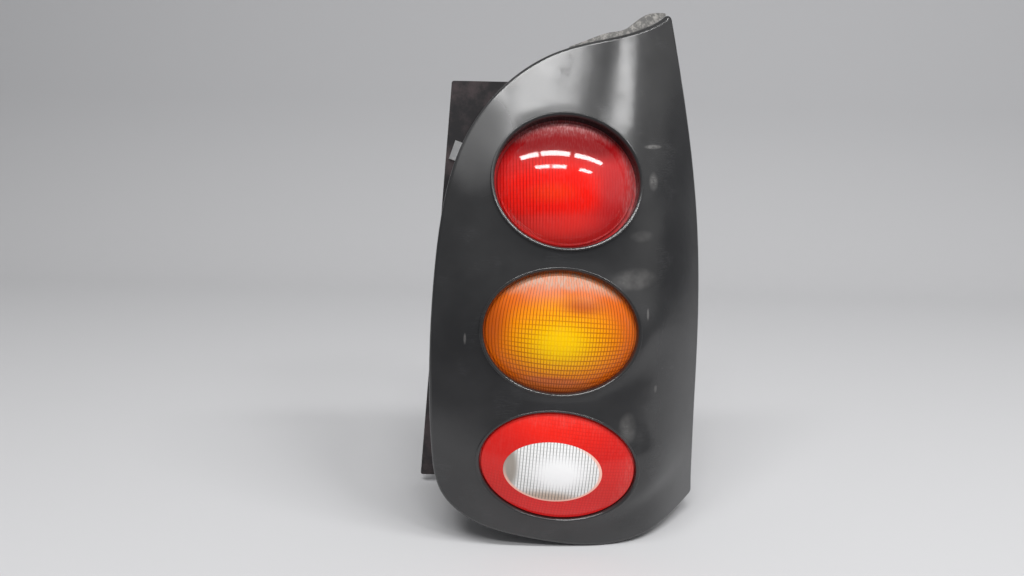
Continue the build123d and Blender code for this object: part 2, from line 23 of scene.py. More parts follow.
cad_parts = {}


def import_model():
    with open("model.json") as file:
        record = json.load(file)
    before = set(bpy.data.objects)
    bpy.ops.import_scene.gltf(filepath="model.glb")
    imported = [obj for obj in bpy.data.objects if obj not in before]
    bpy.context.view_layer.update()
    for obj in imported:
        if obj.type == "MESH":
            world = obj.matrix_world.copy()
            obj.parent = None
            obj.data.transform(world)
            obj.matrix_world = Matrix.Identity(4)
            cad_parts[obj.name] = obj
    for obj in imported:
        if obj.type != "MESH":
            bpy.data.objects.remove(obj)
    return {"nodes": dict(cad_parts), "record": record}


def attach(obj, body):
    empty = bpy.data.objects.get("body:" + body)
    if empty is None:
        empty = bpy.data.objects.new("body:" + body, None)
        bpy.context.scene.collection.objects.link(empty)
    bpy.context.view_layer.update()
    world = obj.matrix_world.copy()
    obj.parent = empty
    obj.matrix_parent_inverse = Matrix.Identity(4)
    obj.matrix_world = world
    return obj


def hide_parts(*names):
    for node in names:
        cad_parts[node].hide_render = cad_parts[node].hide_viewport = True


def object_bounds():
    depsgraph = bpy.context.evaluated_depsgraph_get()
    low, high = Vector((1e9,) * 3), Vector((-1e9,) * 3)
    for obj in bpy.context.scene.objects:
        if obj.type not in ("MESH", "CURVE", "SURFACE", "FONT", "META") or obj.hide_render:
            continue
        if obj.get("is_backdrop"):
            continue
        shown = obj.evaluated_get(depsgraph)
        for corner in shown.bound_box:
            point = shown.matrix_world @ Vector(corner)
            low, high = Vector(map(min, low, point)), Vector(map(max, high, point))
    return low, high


LOG = logging.getLogger("tail_light")
ROOT = "root"
MM = 0.001
TINY = 1e-9
MERGE_DISTANCE = 1e-7
SPIRAL_STEPS = 20
THREAD_DEPTH = 0.00035
STUD_RADIUS = 0.003
SCREW_RADIUS = 0.002
Number = float | int
Pair = tuple[float, float]
Triple = tuple[float, float, float]
Colour = tuple[float, float, float]
Settings = dict[str, Any]
Sockets = dict[str | int, Any]


def math_method(operation: str) -> Callable[..., Wire]:
    """A method of wires that adds one Math node on the wire and other values."""
    return lambda self, *others: self.board.maths(operation, self, *others)


class Wire:
    """An output socket whose methods add nodes to its tree."""

    def __init__(self, board: Board, socket: NodeSocket) -> None:
        """Keep the socket and the board of its tree."""
        self.board = board
        self.socket = socket

    __add__ = __radd__ = math_method("ADD")
    __sub__ = math_method("SUBTRACT")
    __mul__ = __rmul__ = math_method("MULTIPLY")
    __truediv__ = math_method("DIVIDE")
    __pow__ = math_method("POWER")
    __abs__ = math_method("ABSOLUTE")
    fraction = math_method("FRACT")
    most = math_method("MAXIMUM")

    def __rsub__(self, other: Number) -> Wire:
        """Subtract from a number."""
        return self.board.maths("SUBTRACT", other, self)

    def ramp(self, low: Number, high: Number) -> Wire:
        """Smooth rise from 0 to 1 between two values.

        Args:
            low: Value at which the result is 0.
            high: Value at which it is 1; below low the rise is turned round.

        Returns:
            The rise.
        """
        if low > high:
            return 1 - self.ramp(high, low)
        settings = {"interpolation_type": "SMOOTHSTEP"}
        return self.board.out("ShaderNodeMapRange", settings, {0: self, 1: low, 2: high})

    def blend(self, first: Wire | Colour, second: Wire | Colour) -> Wire:
        """Colour between two colours, which is the second where this value is 1."""
        sockets = {0: self, 6: opaque(first), 7: opaque(second)}
        return self.board.out("ShaderNodeMix", {"data_type": "RGBA"}, sockets, 2)

    def parts(self) -> tuple[Wire, ...]:
        """The three components of this vector."""
        node = self.board.add("ShaderNodeSeparateXYZ", {}, {0: self})
        return tuple(Wire(self.board, socket) for socket in node.outputs)

    def dot(self, axis: Vector) -> Wire:
        """How far this vector reaches along an axis."""
        settings = {"operation": "DOT_PRODUCT"}
        return self.board.out("ShaderNodeVectorMath", settings, {0: self, 1: axis}, "Value")

    def mapped(self, turn: Triple, size: Triple) -> Wire:
        """This vector after a turn, in radians, and a stretch along the three axes."""
        sockets = {"Vector": self, "Rotation": turn, "Scale": size}
        return self.board.out("ShaderNodeMapping", {}, sockets)

    def bump(self, depth: Number) -> Wire:
        """A normal from this height, with its depth in metres."""
        sockets = {"Height": self, "Distance": depth, "Strength": 1.0}
        return self.board.out("ShaderNodeBump", {}, sockets)


class Board:
    """A node tree that is filled from Python expressions."""

    def __init__(self, tree: NodeTree) -> None:
        """Start from an empty tree."""
        self.tree = tree
        tree.nodes.clear()

    def add(self, kind: str, settings: Settings, sockets: Sockets) -> Node:
        """Add one node.

        Args:
            kind: The node's type name.
            settings: Attributes of the node, set before its sockets.
            sockets: Values or wires for its inputs, by name or by number.

        Returns:
            The new node.
        """
        node = self.tree.nodes.new(kind)
        for name, value in settings.items():
            setattr(node, name, value)
        for name, value in sockets.items():
            if isinstance(value, Wire):
                self.tree.links.new(value.socket, node.inputs[name])
            else:
                node.inputs[name].default_value = value
        return node

    def out(self, kind: str, settings: Settings, sockets: Sockets, output: str | int = 0) -> Wire:
        """Add one node and take its output of that name or number."""
        return Wire(self, self.add(kind, settings, sockets).outputs[output])

    def maths(self, operation: str, *values: Wire | Number) -> Wire:
        """One Math node on wires or numbers."""
        return self.out("ShaderNodeMath", {"operation": operation}, dict(enumerate(values)))

    def plastic(self, **sockets: Any) -> Wire:
        """A Principled surface, with sockets named with underscores."""
        named = {name.replace("_", " "): value for name, value in sockets.items()}
        return self.out("ShaderNodeBsdfPrincipled", {}, named)


def opaque(colour: Wire | Colour) -> Wire | tuple[float, ...]:
    """A plain colour with its alpha, or the wire itself."""
    return colour if isinstance(colour, Wire) else (*colour, 1.0)


class ShapeBoard(Board):
    """A Geometry Nodes tree with named inputs, which ends in one dressed mesh."""

    def __init__(self, name: str, kinds: dict[str, str]) -> None:
        """Start a tree and give it its sockets.

        Args:
            name: Name of the tree.
            kinds: Kind of each input for a size, by the input's name.
        """
        super().__init__(bpy.data.node_groups.new(name, "GeometryNodeTree"))
        face = self.tree.interface
        for label, kind in {"Geometry": "Geometry", **kinds, "Material": "Material"}.items():
            face.new_socket(label, in_out="INPUT", socket_type=f"NodeSocket{kind}")
        face.new_socket("Geometry", in_out="OUTPUT", socket_type="NodeSocketGeometry")
        entry = self.add("NodeGroupInput", {}, {})
        self.inputs = {s.name: Wire(self, s) for s in entry.outputs if s.name}

    def close(self, shape: Wire) -> GeometryNodeTree:
        """End the tree in one plain mesh with its material.

        Args:
            shape: The geometry to end with.

        Returns:
            The finished tree.
        """
        whole = self.out("GeometryNodeRealizeInstances", {}, {0: shape})
        sockets = {"Geometry": whole, "Material": self.inputs["Material"]}
        dressed = self.out("GeometryNodeSetMaterial", {}, sockets)
        self.add("NodeGroupOutput", {}, {"Geometry": dressed})
        return self.tree


@dataclass(frozen=True)
class Mottle:
    """Cloudy noise: its features per metre and the values where it starts and is full."""

    scale: float
    detail: float = 2.0
    rough: float = 0.5
    edges: Pair | None = None

    def __call__(self, place: Wire) -> Wire:
        """The noise over a surface, as a value from 0 to 1."""
        noise = place.board.out("ShaderNodeTexNoise", {}, {
            "Vector": place, "Scale": self.scale, "Detail": self.detail, "Roughness": self.rough})
        return noise if self.edges is None else noise.ramp(*self.edges)


@dataclass(frozen=True)
class Oval:
    """An oval in a lamp's own plane, in millimetres, with its turn in degrees."""

    half_width: float
    half_height: float
    u: float = 0.0
    v: float = 0.0
    turn: float = 0.0

    def lean(self) -> Pair:
        """Cosine and sine of the oval's turn."""
        return math.cos(math.radians(self.turn)), math.sin(math.radians(self.turn))

    def within(self, u: Any, v: Any) -> tuple[Any, Any]:
        """Places along the oval's own axes.

        Args:
            u: Places across the lamp's plane, as numbers or as a wire.
            v: Places up the lamp's plane, likewise.

        Returns:
            The places along the oval's two axes.
        """
        cos, sin = self.lean()
        right, up = u - self.u, v - self.v
        return right * cos + up * sin, up * cos - right * sin

    def outside(self, along: np.ndarray) -> np.ndarray:
        """Points in the lamp's plane.

        Args:
            along: Places along the oval's own axes, one row each.

        Returns:
            The points, one row each.
        """
        cos, sin = self.lean()
        right, up = along.T
        return np.column_stack((self.u + right * cos - up * sin, self.v + right * sin + up * cos))


@dataclass(frozen=True)
class LampAxes:
    """Where a lamp is: the middle of its rim and its directions."""

    origin: Vector
    right: Vector
    up: Vector
    out: Vector

    def matrix(self) -> Matrix:
        """Matrix from the lamp's own axes to the shared frame."""
        rows = Matrix((self.right, self.up, self.out)).transposed()
        return Matrix.Translation(self.origin) @ rows.to_4x4()

    def across(self, place: Wire) -> list[Wire]:
        """Distances right of and above the lamp's middle, in millimetres, on a surface."""
        axes = (self.right, self.up)
        return [(place.dot(axis) - self.origin.dot(axis)) * (1 / MM) for axis in axes]


@dataclass(frozen=True)
class Finish:
    """A finish: the name of its material and how its surface is made."""

    name: str

    def material(self) -> Material:
        """Build the finish.

        Returns:
            The new material.
        """
        material = bpy.data.materials.new(self.name)
        material.use_nodes = True
        board = Board(material.node_tree)
        place = board.out("ShaderNodeTexCoord", {}, {}, "Object")
        board.add("ShaderNodeOutputMaterial", {}, {"Surface": self.surface(place)})
        return material

    def surface(self, place: Wire) -> Wire:
        """Make the surface, which each kind of finish does in its own way.

        Args:
            place: Object coordinates, in metres.

        Returns:
            The shader.
        """
        raise NotImplementedError


@dataclass(frozen=True)
class Area:
    """A soft-edged area of a surface: its middle, its half sizes and how it fades."""

    u: float
    v: float
    width: float
    height: float
    soft: float = 0.5
    corner: float = 2.0
    share: float = 1.0
    power: float = 1.0

    def weight(self, u: Wire, v: Wire) -> Wire:
        """How far a place is inside the area.

        Args:
            u: Place across, in the area's units.
            v: Place up, likewise.

        Returns:
            A value from 0 outside the area to its share in its middle.
        """
        across = abs(u - self.u) * (1 / self.width)
        upward = abs(v - self.v) * (1 / self.height)
        reach = (across ** self.corner + upward ** self.corner) ** (self.power / self.corner)
        return reach.ramp(1.0, 1.0 - self.soft) * self.share


def scuff(u: float, v: float, width: float, height: float, share: float) -> Area:
    """A worn spot of the panel, or a pale spot of painted highlight, in metres, that fades from
    its middle.
    """
    return Area(u, v, width, height, soft=0.9, share=share, power=2.0)


@dataclass(frozen=True)
class PanelBlack(Finish):
    """Worn satin-gloss black moulding with scuff marks and dusty specks, pale spots that are
    partly wear and partly painted highlight, dulled at its left shoulder.
    """

    dark: Colour = (0.022, 0.022, 0.023)
    light: Colour = (0.033, 0.033, 0.034)
    scratched: Colour = (0.12, 0.12, 0.125)
    dust_and_sheen: Colour = (0.30, 0.29, 0.28)
    gloss: float = 0.17
    shine: float = 0.7
    cloud: Mottle = Mottle(14.0, 4.0, edges=(0.35, 0.65))
    cloud_rough: float = 0.04
    wear: Mottle = Mottle(34.0, 3.0, edges=(0.54, 0.72))
    line: Mottle = Mottle(1.0, 1.0)
    line_turns: tuple[Triple, ...] = ((0.3, 0.5, 0.9), (1.2, 0.2, -0.5), (-0.4, 1.1, 0.2))
    line_size: Triple = (60.0, 60.0, 1400.0)
    line_width: float = 0.035
    line_share: float = 0.16
    line_rough: float = 0.06
    line_depth: float = 0.15
    specks: Mottle = Mottle(120.0, 5.0, 0.7, (0.60, 0.95))
    speck_share: float = 0.05
    speck_rough: float = 0.05
    dulled: Area = scuff(-0.014, -0.015, 0.032, 0.046, 0.30)
    # pale spots, partly wear and partly a painted highlight where the flank catches the light
    worn_and_highlit_spots: tuple[Area, ...] = (
        scuff(0.121, -0.041, 0.0045, 0.0080, 0.36), scuff(0.121, -0.015, 0.0085, 0.0020, 0.50),
        scuff(0.112, -0.081, 0.0110, 0.0050, 0.12), scuff(-0.021, -0.156, 0.0012, 0.0050, 0.36),
        scuff(0.117, -0.138, 0.0012, 0.0055, 0.36), scuff(0.126, -0.197, 0.0016, 0.0035, 0.32),
        scuff(0.104, -0.224, 0.0085, 0.0130, 0.22), scuff(0.106, -0.112, 0.0200, 0.0095, 0.24))
    rub: Mottle = Mottle(130.0, 3.0, edges=(0.3, 0.7))
    rub_uneven: float = 0.6
    rub_rough: float = 0.3
    waves: Mottle = Mottle(45.0)
    wave_height: float = 3.0
    grain: Mottle = Mottle(420.0, 3.0)
    grain_height: float = 0.25
    relief: float = 0.00004

    def surface(self, place: Wire) -> Wire:
        """Make cloudy black under scratches, dusty specks and pale spots, which are partly worn
        and partly painted highlight.

        Args:
            place: Object coordinates, in metres.

        Returns:
            The shader.
        """
        across, _, upward = place.parts()
        cloud, worn = self.cloud(place), self.wear(place)
        drawn = [self.line(place.mapped(turn, self.line_size)) for turn in self.line_turns]
        drawn = [abs(line - 0.5).ramp(self.line_width, 0.0) for line in drawn]
        lines = reduce(Wire.most, drawn) * worn
        dusty = self.specks(place) * worn
        # pale spots: partly wear, partly painted highlight
        worn_and_highlit = reduce(Wire.most, [area.weight(across, upward) for area in self.worn_and_highlit_spots])
        worn_and_highlit = worn_and_highlit * (1 - self.rub_uneven + self.rub(place) * self.rub_uneven)
        colour = cloud.blend(self.dark, self.light)
        colour = (lines * self.line_share).blend(colour, self.scratched)
        colour = (dusty * self.speck_share).blend(colour, self.dust_and_sheen)
        rough = self.gloss + cloud * self.cloud_rough + lines * self.line_rough
        rough = rough + dusty * self.speck_rough + worn_and_highlit * self.rub_rough
        height = self.waves(place) * self.wave_height + self.grain(place) * self.grain_height
        return place.board.plastic(
            Base_Color=worn_and_highlit.blend(colour, self.dust_and_sheen), Specular_IOR_Level=self.shine,
            Roughness=rough + self.dulled.weight(across, upward),
            Normal=(height - lines * self.line_depth).bump(self.relief))


@dataclass(frozen=True)
class Stained(Finish):
    """Matt moulding with a fine grain and blotches of grime."""

    base: Colour
    stain: Colour
    gloss: float
    scale: float
    spots: float = 1.0
    detail: float = 5.0
    ragged: float = 0.65
    edges: Pair = (0.42, 0.68)
    stain_rough: float = 0.2
    stain_height: float = 0.6
    grain: Mottle = Mottle(1800.0)
    grain_rough: float = 0.06
    relief: float = 0.00006

    def surface(self, place: Wire) -> Wire:
        """Make a grained surface with its stains.

        Args:
            place: Object coordinates, in metres.

        Returns:
            The shader.
        """
        stained = Mottle(self.scale, self.detail, self.ragged, self.edges)(place) * self.spots
        grain = self.grain(place)
        return place.board.plastic(
            Base_Color=stained.blend(self.base, self.stain), Metallic=self.metallic(stained),
            Roughness=self.gloss + stained * self.stain_rough + grain * self.grain_rough,
            Normal=(grain + stained * self.stain_height).bump(self.relief))

    def metallic(self, stained: Wire) -> Wire | float:
        """How metallic the surface is, here not at all."""
        return 0.0


@dataclass(frozen=True)
class StainedMetal(Stained):
    """Metal with a fine grain that tarnish dulls in patches."""

    detail: float = 4.0
    ragged: float = 0.6
    edges: Pair = (0.5, 0.75)
    stain_rough: float = 0.4
    stain_height: float = 0.0
    grain: Mottle = Mottle(2500.0, 1.0)
    grain_rough: float = 0.05
    relief: float = 0.00001

    def metallic(self, stained: Wire) -> Wire | float:
        """How metallic the surface is, less where it is dulled."""
        return 1 - stained * self.stain_rough


@dataclass(frozen=True)
class Glass(Finish):
    """Thin clear glass of a bulb, with a little bloom on it."""

    tint: Colour = (0.97, 0.97, 0.97)
    bloom: Mottle = Mottle(200.0, 3.0, edges=(0.45, 0.8))
    bloom_rough: float = 0.06
    index: float = 1.5

    def surface(self, place: Wire) -> Wire:
        """Clear glass that the bloom dulls."""
        rough = self.bloom(place) * self.bloom_rough
        return place.board.plastic(
            Base_Color=opaque(self.tint), Roughness=rough, IOR=self.index, Transmission_Weight=1.0)


@dataclass(frozen=True)
class LensPlastic(Finish):
    """Coloured lens plastic with pressed grooves, hazed and scratched where it has weathered, with
    painted light and shade in patches and painted shade along the grooves.

    A faint emission, a painted glow, stands for the daylight that the bowl behind a lens returns
    through it.
    """

    axes: LampAxes
    oval: Oval
    pitch: Pair
    base: Colour
    groove_shade: Colour
    haze: Colour
    lines: Pair
    painted_light_and_shade: tuple[tuple[Colour, Area], ...]
    calm: tuple[Area, ...]
    rows: Area | None = None
    bow: float = 0.0
    groove_edges: Pair = (0.27, 0.5)
    # edge colour, band, side and lean: a painted reflection of the ring's red along a lit edge
    edge: Colour | None = None
    edge_band: Pair = (0.92, 0.97)
    edge_side: Pair = (-0.9, 0.1)
    edge_lean: float = 0.6
    haze_top: float = 0.0
    haze_right: float = 0.0
    haze_edges: Pair = (0.95, 1.35)
    side_edges: Pair = (1.0, 1.4)
    top_mix: Triple = (0.85, 0.35, 0.3)
    side_mix: Triple = (0.9, 0.3, 0.25)
    cloud: Mottle = Mottle(70.0, 4.0, 0.6)
    marks: Mottle = Mottle(1.0, edges=(0.42, 0.68))
    mark_turn: Triple = (0.1, 0.15, 0.0)
    mark_size: Triple = (1100.0, 250.0, 160.0)
    mark_share: float = 0.6
    mark_haze: float = 0.05
    haze_rough: float = 0.25
    haze_coat: float = 0.3
    skin_rough: float = 0.35
    bloom: float = 0.0
    bloom_rough: float = 0.26
    clear: float = 0.15
    gloss: float = 0.05
    shine: float = 0.5
    index: float = 1.49
    painted_glow: float = 0.0

    def surface(self, place: Wire) -> Wire:
        """Make coloured plastic with painted light and shade under a thin weathered skin.

        Args:
            place: Object coordinates, in metres.

        Returns:
            The shader.
        """
        right, up = self.oval.within(*self.axes.across(place))
        u, v = right * (1 / self.oval.half_width), up * (1 / self.oval.half_height)
        radius = (u ** 2 + v ** 2) ** 0.5
        colour: Wire | Colour = self.base
        # painted light and shade: brighter and darker patches for the light that the bowl returns
        # through the lens
        for painted_tone, area in self.painted_light_and_shade:
            colour = area.weight(u, v).blend(colour, painted_tone)
        # painted shade: dark lines along the grooves stand in for how the inner lenses bend light
        colour = self.grooves(u, v).blend(colour, self.groove_shade)
        # painted reflection of the ring's red along the lit edge of the window
        if self.edge is not None:
            lit = radius.ramp(*self.edge_band) * (u * self.edge_lean - v).ramp(*self.edge_side)
            colour = lit.blend(colour, self.edge)
        haze = self.weathering(place, u, v, radius)
        # the emission is a painted glow for the light that the bowl returns through the lens
        plastic = place.board.plastic(
            Base_Color=colour, Roughness=self.gloss + haze * self.haze_rough, IOR=self.index,
            Transmission_Weight=self.clear, Coat_Weight=self.bloom + haze * self.haze_coat,
            Coat_Roughness=self.bloom_rough, Specular_IOR_Level=self.shine,
            Emission_Color=colour, Emission_Strength=self.painted_glow)
        skin = place.board.plastic(Base_Color=opaque(self.haze), Roughness=self.skin_rough)
        return place.board.out("ShaderNodeMixShader", {}, {0: haze, 1: plastic, 2: skin})

    def grooves(self, u: Wire, v: Wire) -> Wire:
        """Draw dark lines, a painted shade for the refraction of the small lenses on the inside,
        where they meet, bowed outwards near the edge.

        Args:
            u: Place across the lens, from -1 to 1.
            v: Place up the lens, likewise.

        Returns:
            How dark the lines are.
        """
        halves = (self.oval.half_width, self.oval.half_height)
        shown = []
        for along, other, half, pitch, strength in zip(
                (u, v), (v, u), halves, self.pitch, self.lines):
            bowed = along / (1 - other ** 2 * self.bow) ** 0.5
            share = (bowed * (half / pitch) + 0.5).fraction()
            shown.append(abs(share - 0.5).ramp(*self.groove_edges) * strength)
        if self.rows is not None:
            shown[1] = shown[1] * self.rows.weight(u, v)
        grooves = reduce(Wire.most, shown)
        for area in self.calm:
            grooves = grooves * (1 - area.weight(u, v))
        return grooves

    def weathering(self, place: Wire, u: Wire, v: Wire, radius: Wire) -> Wire:
        """Haze the lens at its top and right, broken by fine marks.

        Args:
            place: Object coordinates, in metres.
            u: Place across the lens, from -1 to 1.
            v: Place up the lens, likewise.
            radius: Distance from the lens's middle, 1 at its edge.

        Returns:
            How much of the skin shows.
        """
        marks = self.marks(place.mapped(self.mark_turn, self.mark_size))
        cloud = self.cloud(place)
        hazed = []
        for along, mix, edges, share in (
                (v, self.top_mix, self.haze_edges, self.haze_top),
                (u, self.side_mix, self.side_edges, self.haze_right)):
            reach = along * mix[0] + radius * mix[1] + cloud * mix[2]
            hazed.append(reach.ramp(*edges) * share)
        broken = 1 - self.mark_share + marks * self.mark_share
        return reduce(Wire.most, hazed) * broken + marks * cloud * self.mark_haze


@dataclass(frozen=True)
class Paper(Finish):
    """Plain pale studio paper that darkens far in front of the lamp."""

    base: Colour = (0.60, 0.60, 0.61)
    far: Colour = (0.15, 0.15, 0.16)
    fade: Pair = (-0.24, -0.50)
    tooth: Mottle = Mottle(700.0)
    tooth_rough: float = 0.1
    gloss: float = 0.85
    shine: float = 0.2

    def surface(self, place: Wire) -> Wire:
        """Matt paper with a faint tooth."""
        colour = place.parts()[1].ramp(*self.fade).blend(self.base, self.far)
        return place.board.plastic(
            Base_Color=colour, Roughness=self.gloss + self.tooth(place) * self.tooth_rough,
            Specular_IOR_Level=self.shine)


class Side(Enum):
    """Which face of a lens a vertex is on."""

    FRONT = 1.0
    BACK = -1.0
    RIM = 0.0


@dataclass
class LensBlank:
    """Flat sheet of small cells inside an oval, with or without a hole."""

    outer: Oval
    hole: Oval | None
    step: Pair
    points: np.ndarray = field(init=False)
    faces: list[tuple[int, ...]] = field(init=False)
    loops: list[list[int]] = field(init=False)

    def __post_init__(self) -> None:
        """Clip a grid of cells to the ovals and keep its faces and edge loops."""
        step = np.array(self.step)
        halves = (self.outer.half_width, self.outer.half_height)
        counts = [math.ceil(half / size) + 2 for half, size in zip(halves, self.step)]
        us, vs = (np.arange(-count, count + 1) for count in counts)
        grid = np.stack(np.meshgrid(us, vs, indexing="ij"), axis=-1).reshape(-1, 2) * step
        middle = np.array((self.outer.u, self.outer.v))
        grid = grid + np.round(middle / step) * step
        kept = np.ones(len(grid), bool)
        for oval, sign in ((self.outer, 1.0), (self.hole, -1.0)):
            if oval is not None:
                grid, inside = self.snapped(grid, oval, sign)
                kept &= inside
        rows = len(vs)
        first = np.arange((len(us) - 1) * rows)
        first = first[first % rows < rows - 1]
        corners = np.stack((first, first + rows, first + rows + 1, first + 1), axis=1)
        full = corners[kept[corners].sum(axis=1) >= 3]
        faces = [[int(i) for i in cell if kept[i]] for cell in full]
        used = np.unique(np.concatenate(faces))
        index = np.full(len(grid), -1)
        index[used] = np.arange(len(used))
        self.points = grid[used]
        self.faces = [tuple(int(index[i]) for i in face) for face in faces]
        self.loops = self.edge_loops()

    def snapped(self, grid: np.ndarray, oval: Oval, sign: float) -> tuple[np.ndarray, np.ndarray]:
        """Move the vertices within half a cell of an oval onto it.

        Args:
            grid: The vertices in the plane.
            oval: The oval to follow.
            sign: 1 to keep what is inside the oval, -1 to keep what is outside.

        Returns:
            The moved vertices, and which of them are kept.
        """
        step = np.array(self.step)
        half = np.array((oval.half_width, oval.half_height))
        own = np.column_stack(oval.within(grid[:, 0], grid[:, 1]))
        reach = np.maximum(np.linalg.norm(own / half, axis=1), TINY)
        slope = own / half ** 2 / reach[:, None] * step
        steepness = np.maximum(np.linalg.norm(slope, axis=1), TINY)
        cells = (1 - reach) / steepness
        near = np.abs(cells) < 0.5
        own[near] += ((cells / steepness)[:, None] * slope * step)[near]
        own[near] /= np.linalg.norm(own[near] / half, axis=1)[:, None]
        return oval.outside(own), near | (sign * (1 - reach) > 0)

    def edge_loops(self) -> list[list[int]]:
        """Follow the sheet's open edges.

        Returns:
            Closed loops of edge vertices, the longest first.
        """
        edges = {(f[i], f[(i + 1) % len(f)]) for f in self.faces for i in range(len(f))}
        following = {a: b for a, b in edges if (b, a) not in edges}
        loops = []
        while following:
            start = next(iter(following))
            loop = [start]
            onward = following.pop(start)
            while onward != start:
                loop.append(onward)
                onward = following.pop(onward)
            loops.append(loop)
        return sorted(loops, key=len, reverse=True)


@dataclass
class Optics:
    """Small lenses on the inside of a lens: pitch and depth across and up, and mesh cells."""

    pitch: Pair
    depth: Pair
    cells: int = 6

    def step(self) -> Pair:
        """Size of a mesh cell."""
        return self.pitch[0] / self.cells, self.pitch[1] / self.cells


@dataclass
class Dome:
    """A spherical dome over an oval, in millimetres along the lamp's axis."""

    radius: float
    edge: float
    rise: float

    def sphere(self) -> float:
        """Radius of the sphere."""
        return (self.radius ** 2 + self.rise ** 2) / (2 * self.rise)

    def height(self, reach: float) -> float:
        """Height at a distance from the axis."""
        sphere = self.sphere()
        return self.edge + self.rise - sphere + (sphere ** 2 - reach ** 2) ** 0.5


def lens_tree() -> GeometryNodeTree:
    """Geometry Nodes that raise a flat lens blank to its domes and press its optics.

    Returns:
        The tree, whose inputs are the domes' and the optics' sizes.
    """
    sizes = ("Ratio", "Front Sphere", "Front Top", "Back Sphere", "Back Top",
             "Pitch Across", "Pitch Up", "Depth Across", "Depth Up")
    board = ShapeBoard("lens_optics", dict.fromkeys(sizes, "Float"))
    wires = board.inputs
    u, v, w = board.out("GeometryNodeInputPosition", {}, {}).parts()
    reach = u ** 2 + (v / wires["Ratio"]) ** 2
    domes = []
    for name in ("Front", "Back"):
        sphere = wires[f"{name} Sphere"]
        domes.append(wires[f"{name} Top"] - sphere + (sphere ** 2 - reach) ** 0.5)
    front, back = domes
    for along, name in ((u, "Across"), (v, "Up")):
        share = (along / wires[f"Pitch {name}"] + 0.5).fraction()
        back = back - share * (1 - share) * 4 * wires[f"Depth {name}"]
    settings = {"data_type": "FLOAT"}
    side = board.out("GeometryNodeInputNamedAttribute", settings, {"Name": "side"})
    height = front * side.most(0.0) + back * (side * -1).most(0.0) + w
    raised = board.out("ShaderNodeCombineXYZ", {}, {0: u, 1: v, 2: height})
    sockets = {"Geometry": wires["Geometry"], "Position": raised}
    return board.close(board.out("GeometryNodeSetPosition", {}, sockets))


def winding_tree() -> GeometryNodeTree:
    """Geometry Nodes that wind a thread about +Z and repeat it at every point of a mesh.

    Returns:
        The tree, whose inputs are the thread's sizes and a blank that it is joined to.
    """
    sizes = dict.fromkeys(("Turns", "Radius", "Height", "Start", "Wire Radius"), "Float")
    others = {"Wire Sides": "Int", "Direction": "Vector", "Blank": "Object"}
    board = ShapeBoard("winding", {**sizes, **others})
    wires = board.inputs
    spiral = board.out("GeometryNodeCurveSpiral", {}, {
        "Resolution": SPIRAL_STEPS, "Rotations": wires["Turns"], "Start Radius": wires["Radius"],
        "End Radius": wires["Radius"], "Height": wires["Height"]})
    section = board.out("GeometryNodeCurvePrimitiveCircle", {}, {
        "Resolution": wires["Wire Sides"], "Radius": wires["Wire Radius"]})
    wound = board.out("GeometryNodeCurveToMesh", {}, {
        "Curve": spiral, "Profile Curve": section, "Fill Caps": True})
    lift = board.out("ShaderNodeCombineXYZ", {}, {2: wires["Start"]})
    lifted = board.out("GeometryNodeTransform", {}, {"Geometry": wound, "Translation": lift})
    blank = board.out("GeometryNodeObjectInfo", {}, {"Object": wires["Blank"]}, "Geometry")
    joined = board.add("GeometryNodeJoinGeometry", {}, {0: lifted})
    board.tree.links.new(blank.socket, joined.inputs[0])
    upright = {"axis": "Z"}
    turn = board.out("FunctionNodeAlignRotationToVector", upright, {"Vector": wires["Direction"]})
    return board.close(board.out("GeometryNodeInstanceOnPoints", {}, {
        "Points": wires["Geometry"], "Instance": Wire(board, joined.outputs[0]),
        "Rotation": turn}))


def grown(name: str, mesh: Mesh, tree: GeometryNodeTree, inputs: Settings) -> Mesh:
    """Run a Geometry Nodes tree on a mesh.

    Args:
        name: Name of the resulting mesh.
        mesh: The mesh that the tree starts from.
        tree: The tree.
        inputs: Values of the tree's named inputs.

    Returns:
        The result as a plain mesh.
    """
    carrier = linked(f"{name}_blank", mesh)
    modifier = carrier.modifiers.new("nodes", "NODES")
    modifier.node_group = tree
    for item in tree.interface.items_tree:
        if item.in_out == "INPUT" and item.name in inputs:
            modifier[item.identifier] = inputs[item.name]
    result = evaluated(carrier)
    result.name = name
    carrier.modifiers.remove(modifier)
    bpy.data.objects.remove(carrier)
    return result


def evaluated(carrier: Object) -> Mesh:
    """A plain mesh of an object with its modifiers."""
    graph = bpy.context.evaluated_depsgraph_get()
    return bpy.data.meshes.new_from_object(carrier.evaluated_get(graph), depsgraph=graph)


def linked(name: str, data: ID) -> Object:
    """Put a new object into the scene.

    Args:
        name: The object's name.
        data: Its mesh, light or camera.

    Returns:
        The object.
    """
    piece = bpy.data.objects.new(name, data)
    bpy.context.scene.collection.objects.link(piece)
    return piece


def smooth(mesh: Mesh, angle: float) -> None:
    """Shade a mesh smooth except at edges sharper than an angle in degrees."""
    mesh.polygons.foreach_set("use_smooth", [True] * len(mesh.polygons))
    mesh.set_sharp_from_angle(angle=math.radians(angle))


def turned(profile: Sequence[Pair], segments: int) -> Mesh:
    """Closed solid of revolution about +Z.

    Args:
        profile: Radius and height from one end on the axis to the other, in metres.
        segments: Number of faces round it.

    Returns:
        The mesh.
    """
    shape = bmesh.new()
    points = [shape.verts.new((radius, 0, height)) for radius, height in profile]
    edges = [shape.edges.new(pair) for pair in zip(points, points[1:])]
    bmesh.ops.spin(shape, geom=points + edges, cent=(0, 0, 0), axis=(0, 0, 1), angle=math.tau,
                   steps=segments, use_merge=True, use_duplicate=False)
    bmesh.ops.remove_doubles(shape, verts=shape.verts, dist=MERGE_DISTANCE)
    bmesh.ops.recalc_face_normals(shape, faces=shape.faces)
    mesh = bpy.data.meshes.new("turned")
    shape.to_mesh(mesh)
    shape.free()
    return mesh


